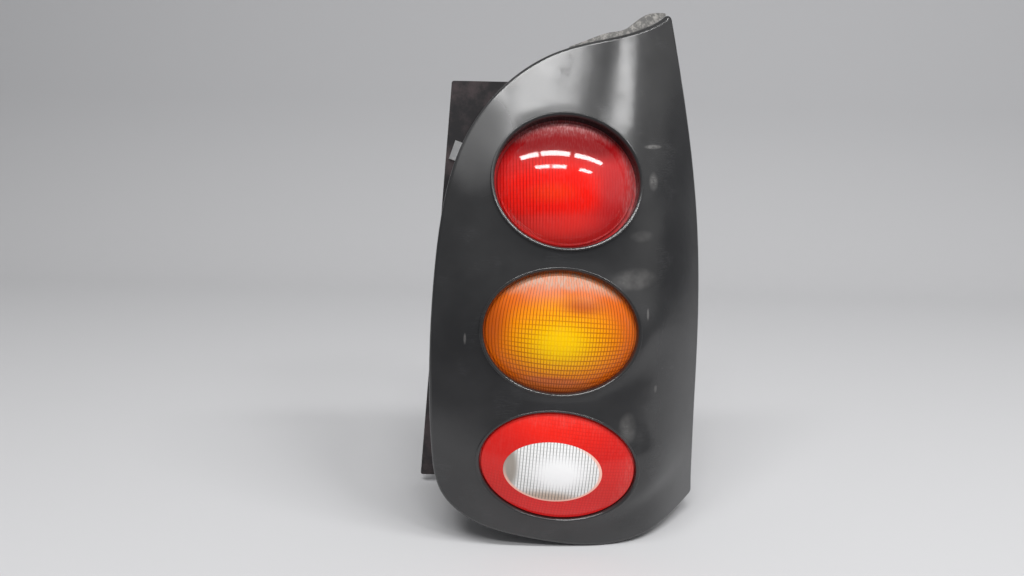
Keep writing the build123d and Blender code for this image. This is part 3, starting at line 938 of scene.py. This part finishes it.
@dataclass
class Lens:
    """One lens: its blank, domes, flange and optics, in its lamp's axes in millimetres."""

    name: str
    outer: Oval
    ratio: float
    front: Dome
    back: Dome
    optics: Optics
    hole: Oval | None = None
    rim: list[Pair] = field(default_factory=list)
    sharp: float = 24.0

    def mesh(self, tree: GeometryNodeTree, material: Material, axes: LampAxes) -> Mesh:
        """Build the lens.

        Args:
            tree: The Geometry Nodes tree that shapes lens blanks.
            material: The lens's material.
            axes: The lamp's place.

        Returns:
            The mesh in the shared frame.
        """
        inputs = {"Ratio": self.ratio, "Material": material}
        for label, dome in (("Front", self.front), ("Back", self.back)):
            inputs |= {f"{label} Sphere": dome.sphere(), f"{label} Top": dome.edge + dome.rise}
        for label, pitch, depth in zip(("Across", "Up"), self.optics.pitch, self.optics.depth):
            inputs |= {f"Pitch {label}": pitch, f"Depth {label}": depth}
        shaped = grown(self.name, self.flat(), tree, inputs)
        shaped.transform(axes.matrix() @ Matrix.Scale(MM, 4))
        smooth(shaped, self.sharp)
        return shaped

    def flat(self) -> Mesh:
        """Make the blank: two flat sheets and the rim that joins them.

        Returns:
            The blank as a mesh, with the side that each vertex is on.
        """
        blank = LensBlank(self.outer, self.hole, self.optics.step())
        count = len(blank.points)
        sheet = np.column_stack((blank.points, np.zeros(count)))
        points = [sheet, sheet]
        sides = [np.full(count, Side.FRONT.value), np.full(count, Side.BACK.value)]
        faces = list(blank.faces)
        faces += [tuple(i + count for i in reversed(face)) for face in blank.faces]
        for number, loop in enumerate(blank.loops):
            rings = [loop]
            start = sum(len(p) for p in points)
            for radius, height in self.rim if number == 0 else ():
                ring = blank.points[loop] * (radius / self.outer.half_width)
                points.append(np.column_stack((ring, np.full(len(loop), height))))
                sides.append(np.full(len(loop), Side.RIM.value))
                rings.append(list(range(start, start + len(loop))))
                start += len(loop)
            rings.append([i + count for i in loop])
            for near, far in zip(rings, rings[1:]):
                for i in range(len(loop)):
                    j = (i + 1) % len(loop)
                    faces.append((near[j], near[i], far[i], far[j]))
        mesh = bpy.data.meshes.new(f"{self.name}_flat")
        mesh.from_pydata(np.concatenate(points), [], faces)
        side = mesh.attributes.new("side", "FLOAT", "POINT")
        side.data.foreach_set("value", np.concatenate(sides))
        return mesh


@dataclass(frozen=True)
class Lamp:
    """One lamp: the sizes of its opening and lens, as its solids have them."""

    name: str
    half_width: float
    half_height: float
    roll: float
    flange_depth: float
    shoulder: float
    lens_gap: float
    dome: float
    wall: float = 2.5
    edge_wall: float = 0.8
    flange_lip: float = 4.0
    shoulder_round: float = 1.2
    shoulder_drop: float = 0.6
    shoulder_steps: int = 5
    forward: float = -0.7

    def axes(self) -> LampAxes:
        """Read the lamp's place from the front face of its lens seal.

        Returns:
            The middle of its rim and its directions.
        """
        seal = bpy.data.objects[f"{self.name}_lens_seal"].data
        out = Vector()
        for polygon in seal.polygons:
            if polygon.normal.y < self.forward:
                out += polygon.normal * polygon.area
        out.normalize()
        cos, sin = math.cos(math.radians(self.roll)), math.sin(math.radians(self.roll))
        right = Vector((cos, (out.z * sin - out.x * cos) / out.y, -sin)).normalized()
        up = out.cross(right)
        spans = [[v.co.dot(axis) for v in seal.vertices] for axis in (right, up)]
        middle = [(min(span) + max(span)) / 2 for span in spans]
        front = max(v.co.dot(out) for v in seal.vertices) + (self.flange_depth + self.wall) * MM
        return LampAxes(right * middle[0] + up * middle[1] + out * front, right, up, out)

    def ratio(self) -> float:
        """Height of the opening over its width."""
        return self.half_height / self.half_width

    def face(self) -> Oval:
        """Edge of the part of the lens that shows."""
        radius = self.front().radius
        return Oval(radius, radius * self.ratio())

    def front(self) -> Dome:
        """Outer dome of the lens."""
        return Dome(self.half_width - self.lens_gap, self.shoulder - self.flange_depth, self.dome)

    def back(self) -> Dome:
        """Inner dome of the lens."""
        front, edge = self.front(), self.edge_wall
        return Dome(front.radius - self.wall, front.edge - edge, front.rise - self.wall + edge)

    def rim(self) -> list[Pair]:
        """Section of the lens outside its optics.

        Returns:
            Radius and height from front to back.
        """
        front = self.front()
        flange = -self.flange_depth
        outer = self.half_width + self.flange_lip
        start = front.radius - self.shoulder_round
        top = front.height(start)
        drop = top - (front.edge - self.shoulder_round * self.shoulder_drop)
        section = []
        for i in range(self.shoulder_steps + 1):
            angle = math.pi / 2 * i / self.shoulder_steps
            section.append((start + self.shoulder_round * math.sin(angle),
                            top - drop * (1 - math.cos(angle))))
        section += [(front.radius, flange), (outer, flange), (outer, flange - self.wall)]
        section.append((front.radius - self.wall, flange - self.wall))
        return section

    def lens(self, name: str, optics: Optics, hole: Oval | None = None) -> Lens:
        """A lens with a flange, over the whole opening but for a hole for a window."""
        outer = Oval(self.back().radius, self.back().radius * self.ratio())
        return Lens(
            name, outer, self.ratio(), self.front(), self.back(), optics, hole, self.rim())

    def window(self, name: str, optics: Optics, oval: Oval) -> Lens:
        """A window without a flange, inside a ring lens with that oval as its edge."""
        return Lens(name, oval, self.ratio(), self.front(), self.back(), optics)


@dataclass
class Lenses:
    """The four lenses of the three lamps."""

    upper: Lamp = Lamp("upper", 55.5, 51.1, 0.6, 10.8, 1.6, 2.4, 17.0)
    middle: Lamp = Lamp("middle", 58.4, 46.3, 3.3, 6.5, 2.0, 1.5, 15.0)
    lower: Lamp = Lamp("lower", 60.4, 43.6, 8.0, 6.0, 4.6, 1.0, 11.0)
    window: Oval = Oval(37.7, 24.4, -4.0, -1.9, 4.2)
    hole: Oval = Oval(37.8, 24.5, -4.0, -1.9, 4.2)
    optics: dict[str, Optics] = field(default_factory=lambda: {
        "red_lens": Optics((2.35, 3.2), (0.34, 0.10), 5),
        "amber_lens": Optics((2.42, 3.7), (0.34, 0.42)),
        "reflex_ring_lens": Optics((2.4, 2.6), (0.42, 0.42)),
        "clear_lens": Optics((2.45, 2.7), (0.36, 0.36))})
    slots: dict[str, str] = field(default_factory=lambda: {
        "red_lens": "lens_red", "amber_lens": "lens_amber", "reflex_ring_lens": "lens_red",
        "clear_lens": "lens_clear"})

    def red(self) -> LensPlastic:
        """Red plastic, with painted shade darkening its top and a painted glow brightest low at
        its left.
        """
        return LensPlastic(
            "red_lens", self.upper.axes(), self.upper.face(), self.optics["red_lens"].pitch,
            base=(0.60, 0.018, 0.020), groove_shade=(0.36, 0.0, 0.0), haze=(0.60, 0.34, 0.34),
            lines=(0.85, 0.10),
            # painted shade at the top, painted glow low at the left and below
            painted_light_and_shade=(
                ((0.25, 0.004, 0.006), Area(0.0, 0.70, 1.2, 0.52, corner=3.0)),
                ((0.84, 0.016, 0.010), Area(-0.25, -0.10, 0.95, 0.62, 0.6, 3.0)),
                ((0.92, 0.030, 0.022), Area(-0.20, -0.65, 0.90, 0.45, 0.7)),
                ((1.0, 0.008, 0.001), Area(-0.25, -0.20, 0.80, 0.40, 0.35, 4.0)),
                ((1.0, 0.040, 0.004), Area(-0.25, -0.22, 0.50, 0.22, 0.9, share=0.8))),
            calm=(
                Area(0.30, 0.70, 1.30, 0.70, share=0.9),
                Area(0.15, -0.95, 1.20, 0.50, share=0.8),
                Area(0.45, -0.20, 1.05, 0.80, share=0.65)),
            haze_top=0.70, haze_right=0.50, bow=0.12, bloom=0.10, painted_glow=0.10)

    def amber(self) -> LensPlastic:
        """Amber plastic, with a painted yellow glow at its heart and painted shade at its left and
        near its top, hazed at its top.
        """
        return LensPlastic(
            "amber_lens", self.middle.axes(), self.middle.face(), self.optics["amber_lens"].pitch,
            base=(0.76, 0.145, 0.002), groove_shade=(0.26, 0.035, 0.0), haze=(0.41, 0.34, 0.26),
            lines=(0.85, 0.75),
            # painted glow at the heart, painted shade at the left, near the top and at the bottom
            painted_light_and_shade=(
                ((1.0, 0.37, 0.0), Area(0.0, -0.12, 0.96, 0.86)),
                ((1.0, 0.62, 0.0), Area(-0.03, -0.18, 0.70, 0.58, 0.8)),
                ((0.52, 0.09, 0.004), Area(-1.0, 0.15, 0.40, 0.85, 0.9)),
                ((0.60, 0.13, 0.006), Area(0.25, 0.46, 0.45, 0.22, 0.9)),
                ((0.70, 0.17, 0.03), Area(-0.1, -0.98, 0.85, 0.28, 0.35))),
            calm=(Area(-0.03, -0.15, 0.58, 0.48, 0.9, share=0.85),),
            rows=Area(0.12, -0.42, 1.15, 0.98, 0.45), bow=0.45,
            haze_top=0.80, haze_right=0.15, haze_edges=(0.90, 1.18),
            clear=0.1, gloss=0.30, shine=0.25, painted_glow=0.15)

    def ring(self) -> LensPlastic:
        """Red plastic of the ring, with painted light that makes it brighter at its top and
        bottom.
        """
        return LensPlastic(
            "ring_lens", self.lower.axes(), self.lower.face(),
            self.optics["reflex_ring_lens"].pitch,
            base=(0.74, 0.022, 0.018), groove_shade=(0.42, 0.006, 0.006), haze=(0.70, 0.35, 0.32),
            lines=(0.30, 0.30),
            painted_light_and_shade=(
                ((0.92, 0.024, 0.014), Area(-0.1, 0.80, 0.95, 0.65, 0.8)),
                ((0.86, 0.022, 0.022), Area(0.1, -0.95, 1.2, 0.75, 0.7))),
            calm=(Area(-0.6, 0.4, 0.9, 0.9, 0.6, share=0.7),),
            haze_top=0.1, haze_right=0.15, shine=0.3, painted_glow=0.12)

    def clear(self) -> LensPlastic:
        """Clear plastic of the window, with a painted glow at its middle, painted shade at its
        left and bottom, and a painted reflection of the ring's red in its lit edge.
        """
        return LensPlastic(
            "clear_lens", self.lower.axes(), self.window, self.optics["clear_lens"].pitch,
            base=(0.94, 0.94, 0.93), groove_shade=(0.10, 0.10, 0.095), haze=(0.80, 0.76, 0.74),
            lines=(0.85, 0.16), edge=(1.0, 0.56, 0.46),
            painted_light_and_shade=(
                ((1.0, 1.0, 1.0), Area(0.10, 0.12, 0.90, 0.95, 0.6)),
                ((0.36, 0.32, 0.28), Area(-0.95, 0.0, 0.32, 1.1)),
                ((0.62, 0.48, 0.38), Area(-0.05, -1.0, 1.0, 0.50, 0.6))),
            calm=(Area(0.12, 0.0, 0.72, 0.80, 0.7), Area(-0.95, 0.0, 0.32, 1.1)),
            clear=0.05, painted_glow=0.10)

    def build(self) -> None:
        """Make the lenses in place of their solids."""
        tree = lens_tree()
        optics = self.optics
        ring = self.lower.lens("reflex_ring_lens", optics["reflex_ring_lens"], self.hole)
        for lamp, lens, finish in (
                (self.upper, self.upper.lens("red_lens", optics["red_lens"]), self.red()),
                (self.middle, self.middle.lens("amber_lens", optics["amber_lens"]), self.amber()),
                (self.lower, ring, self.ring()),
                (self.lower, self.lower.window("clear_lens", optics["clear_lens"], self.window),
                 self.clear())):
            mesh = lens.mesh(tree, finish.material(), lamp.axes())
            settle(linked(f"{lens.name}_optics", mesh), lens.name)


def settle(piece: Object, node: str) -> None:
    """Put a finished piece in the place of a solid.

    Args:
        piece: The piece, with its place in its mesh.
        node: The solid that it stands for.
    """
    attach(piece, ROOT)
    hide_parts(node)
    LOG.info("%s stands for %s: %d faces", piece.name, node, len(piece.data.polygons))


@dataclass
class Fastener:
    """Threaded pieces of one kind, turned about +Z and stood along +Y, in metres."""

    node: str
    core: float
    profile: list[Pair]
    places: list[Triple]
    turns: float
    thread_start: float
    thread_length: float
    crossed: bool = False
    cross: Triple = (0.0042, 0.00085, 0.0034)
    cross_taper: float = 0.55
    cross_height: float = 0.0027
    wire_sunk: float = 0.4
    wire_sides: int = 4
    sides: int = 40
    sharp: float = 30.0

    def build(self, tree: GeometryNodeTree, steel: Material) -> None:
        """Make the pieces in place of their solids.

        Args:
            tree: The Geometry Nodes tree that winds threads.
            steel: Their material.
        """
        blank = turned(self.profile, self.sides)
        if self.crossed:
            blank = self.recess(blank)
        carrier = linked(f"{self.node}_turned", blank)
        points = bpy.data.meshes.new(f"{self.node}_places")
        points.from_pydata(self.places, [], [])
        mesh = grown(f"{self.node}_threaded", points, tree, {
            "Turns": self.turns, "Start": self.thread_start, "Height": self.thread_length,
            "Radius": self.core - THREAD_DEPTH * self.wire_sunk,
            "Wire Radius": THREAD_DEPTH * (1 + self.wire_sunk), "Wire Sides": self.wire_sides,
            "Direction": (0.0, 1.0, 0.0), "Blank": carrier, "Material": steel})
        smooth(mesh, self.sharp)
        bpy.data.objects.remove(carrier)
        settle(linked(f"{self.node}_threaded", mesh), self.node)

    def recess(self, blank: Mesh) -> Mesh:
        """Cut a cross recess into a screw's head.

        Args:
            blank: The screw, with its head towards +Z.

        Returns:
            The screw with its recess.
        """
        shape = bmesh.new()
        for turn in (0.0, math.pi / 2):
            made = bmesh.ops.create_cube(shape, size=1.0)["verts"]
            for vertex in made:
                taper = 1.0 if vertex.co.z > 0 else self.cross_taper
                vertex.co = vertex.co * Vector(self.cross) * Vector((taper, 1.0, 1.0))
            bmesh.ops.rotate(
                shape, verts=made, cent=(0, 0, 0), matrix=Matrix.Rotation(turn, 3, "Z"))
            bmesh.ops.translate(shape, verts=made, vec=(0, 0, self.cross_height))
        cutter_mesh = bpy.data.meshes.new("cross")
        shape.to_mesh(cutter_mesh)
        shape.free()
        cutter = linked("cross", cutter_mesh)
        carrier = linked("screw_blank", blank)
        cut = carrier.modifiers.new("cut", "BOOLEAN")
        cut.operation = "DIFFERENCE"
        cut.solver = "EXACT"
        cut.use_self = True
        cut.object = cutter
        result = evaluated(carrier)
        bpy.data.objects.remove(carrier)
        bpy.data.objects.remove(cutter)
        return result


def fasteners() -> tuple[Fastener, Fastener]:
    """Sizes and places of the fasteners.

    Returns:
        The studs behind the plate and the screws through it.
    """
    stud, screw = STUD_RADIUS - THREAD_DEPTH, SCREW_RADIUS - THREAD_DEPTH
    studs = Fastener(
        "mounting_studs", stud, turns=16.6, thread_start=0.0006, thread_length=0.0166,
        profile=[(0.0, -0.0055), (0.0086, -0.0055), (0.009, -0.0051), (0.009, -0.003),
                 (0.004, -0.003), (0.004, 0.0), (stud, 0.0), (stud, 0.0178),
                 (stud - 0.0006, 0.0188), (0.0, 0.0188)],
        places=[(0.0, 0.0, 0.0), (-0.020, 0.0, -0.278), (0.120, 0.0, -0.150)])
    screws = Fastener(
        "panel_screws", screw, turns=9.0, thread_start=-0.0136, thread_length=0.0126,
        profile=[(0.0, -0.015), (screw * 0.6, -0.0142), (screw, -0.013), (screw, 0.0),
                 (0.004, 0.0), (0.004, 0.0014), (0.0036, 0.0021), (0.0026, 0.0025),
                 (0.0, 0.0025)],
        places=[(-0.030, 0.0, -0.206), (-0.028, 0.0, -0.094), (0.130, 0.0, -0.206),
                (0.126, 0.0, -0.094)],
        crossed=True)
    return studs, screws


@dataclass(frozen=True)
class Strip:
    """One strip light of the ceiling: its two ends across the room, its depth and its slant."""

    left: float
    right: float
    depth: float
    slant: float = 0.0


@dataclass
class Studio:
    """Floor, backdrop, lights and camera, in metres, with the camera's pitch in degrees."""

    camera_place: Triple = (0.0135, -0.646, 0.013)
    pitch: float = 13.39
    roll_sine: float = 0.02005
    lens: float = 26.72
    sensor: float = 36.0
    nearest: float = 0.01
    strips: tuple[Strip, ...] = (
        Strip(-0.98, -0.38, -0.74), Strip(-0.31, 0.53, -0.74), Strip(0.68, 1.81, -0.74, 0.13),
        Strip(-0.63, -0.08, -1.45), Strip(0.00, 0.52, -1.45), Strip(1.08, 1.72, -1.45))
    strip_height: float = 1.68
    strip_width: float = 0.22
    strip_radiance: float = 22.0
    room_low: Colour = (0.16, 0.165, 0.175)
    room_high: Colour = (0.30, 0.30, 0.30)
    room_rise: Pair = (0.1, 0.8)
    glow_towards: Triple = (0.82, -0.33, 0.47)
    glow_edges: Pair = (0.86, 0.99)
    glow_radiance: float = 0.6
    sweep_front: float = -3.0
    sweep_back: float = 0.75
    sweep_bend: float = 0.35
    sweep_steps: int = 12
    sweep_top: float = 1.9
    sweep_half: float = 3.0
    sweep_sharp: float = 40.0

    def build(self, floor_level: float) -> None:
        """Set up the studio round the object.

        Args:
            floor_level: Height of the floor.
        """
        self.add_backdrop(floor_level)
        self.add_lights()
        self.add_world()
        self.add_camera()
        bpy.context.scene.view_settings.view_transform = "Standard"

    def add_backdrop(self, level: float) -> None:
        """Lay one sheet of paper that is the floor and curves up behind.

        Args:
            level: Height of the floor.
        """
        bend, back = self.sweep_bend, self.sweep_back
        line = [(self.sweep_front, 0.0), (back, 0.0)]
        for i in range(1, self.sweep_steps + 1):
            angle = math.pi / 2 * i / self.sweep_steps
            line.append((back + bend * math.sin(angle), bend * (1 - math.cos(angle))))
        line.append((back + bend, self.sweep_top))
        points = [(side * self.sweep_half, y, level + z) for y, z in line for side in (-1, 1)]
        faces = [(2 * i, 2 * i + 1, 2 * i + 3, 2 * i + 2) for i in range(len(line) - 1)]
        mesh = bpy.data.meshes.new("paper_sweep")
        mesh.from_pydata(points, [], faces)
        smooth(mesh, self.sweep_sharp)
        mesh.materials.append(Paper("paper").material())
        linked("paper_sweep", mesh)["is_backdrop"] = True

    def add_lights(self) -> None:
        """Hang two rows of strip lights overhead, facing down."""
        for strip in self.strips:
            across = strip.right - strip.left
            light = bpy.data.lights.new("light", "AREA")
            light.shape = "RECTANGLE"
            light.size, light.size_y = math.hypot(across, strip.slant), self.strip_width
            light.energy = self.strip_radiance * math.pi * light.size * light.size_y
            middle = (strip.left + across / 2, strip.depth + strip.slant / 2, self.strip_height)
            turn = Matrix.Rotation(math.atan2(strip.slant, across), 4, "Z")
            linked("light", light).matrix_world = Matrix.Translation(middle) @ turn

    def add_world(self) -> None:
        """Surround it dimly, a little brighter overhead and with a soft glow at the right."""
        world = bpy.data.worlds.new("room")
        world.use_nodes = True
        bpy.context.scene.world = world
        board = Board(world.node_tree)
        direction = board.out("ShaderNodeTexCoord", {}, {}, "Generated")
        upward = direction.parts()[2]
        colour = upward.ramp(*self.room_rise).blend(self.room_low, self.room_high)
        facing = direction.dot(Vector(self.glow_towards).normalized())
        colour = facing.ramp(*self.glow_edges).blend(colour, (self.glow_radiance,) * 3)
        light = board.out("ShaderNodeBackground", {}, {"Color": colour, "Strength": 1.0})
        board.add("ShaderNodeOutputWorld", {}, {"Surface": light})

    def add_camera(self) -> None:
        """Put the camera at the photograph's place and angle."""
        pitch = math.radians(self.pitch)
        ahead = Vector((0, math.cos(pitch), -math.sin(pitch)))
        down = Vector((0, -math.sin(pitch), -math.cos(pitch)))
        roll_cosine = math.sqrt(1 - self.roll_sine ** 2)
        right = Vector((roll_cosine, 0, 0)) - down * self.roll_sine
        up = -(Vector((self.roll_sine, 0, 0)) + down * roll_cosine)
        data = bpy.data.cameras.new("camera")
        data.lens = self.lens
        data.sensor_width = self.sensor
        data.clip_start = self.nearest
        turn = Matrix((right, up, -ahead)).transposed().to_4x4()
        camera = linked("camera", data)
        camera.matrix_world = Matrix.Translation(self.camera_place) @ turn
        bpy.context.scene.camera = camera


def slot_finishes() -> tuple[Finish, ...]:
    """Finishes of the solids that stay, each named for its material slot."""
    return (
        PanelBlack("panel_black"),
        Stained("housing_black", (0.026, 0.024, 0.026), (0.085, 0.064, 0.066), 0.55, 45.0),
        Stained("seal_rubber", (0.015, 0.015, 0.015), (0.05, 0.045, 0.04), 0.7, 200.0),
        StainedMetal("reflector_bright", (0.90, 0.90, 0.91), (0.62, 0.58, 0.52), 0.14, 60.0, 0.5),
        Stained("holder_plastic", (0.10, 0.10, 0.105), (0.20, 0.18, 0.16), 0.5, 90.0),
        StainedMetal("brass", (0.78, 0.60, 0.28), (0.30, 0.20, 0.10), 0.28, 300.0, 0.6),
        Glass("bulb_glass"),
        StainedMetal("tungsten", (0.36, 0.36, 0.37), (0.12, 0.12, 0.13), 0.4, 900.0, 0.4),
        StainedMetal("zinc_steel", (0.66, 0.66, 0.64), (0.34, 0.28, 0.20), 0.32, 400.0, 0.5),
        Stained("foam", (0.15, 0.147, 0.142), (0.40, 0.385, 0.36), 0.85, 320.0),
        StainedMetal("clip_steel", (0.92, 0.92, 0.91), (0.60, 0.56, 0.52), 0.40, 300.0, 0.30),
    )


def dress(frame: dict[str, Any]) -> dict[str, Material]:
    """Give every solid the finish of its slot.


    Returns:
        The materials by slot.
    """
    materials = {finish.name: finish.material() for finish in slot_finishes()}
    for row in frame["record"]["subparts"]:
        node, name = row["node"], row["material_slot"]
        if name in materials:
            for slot in frame["nodes"][node].material_slots:
                slot.material = materials[name]
            LOG.info("%s wears %s", node, name)
    return materials


def plain(box: Sequence[Vector]) -> list[list[float]]:
    """A box's two corners as plain lists of numbers."""
    return [[float(value) for value in corner] for corner in box]


def main() -> None:
    """Load the solids, dress them and set up the studio."""
    logging.basicConfig(level=logging.INFO)
    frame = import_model()
    solid_box = plain(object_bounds())
    materials = dress(frame)
    Lenses().build()
    threads = winding_tree()
    for fastener in fasteners():
        fastener.build(threads, materials["zinc_steel"])
    Studio().build(solid_box[0][2])


if __name__ == "__main__":
    main()
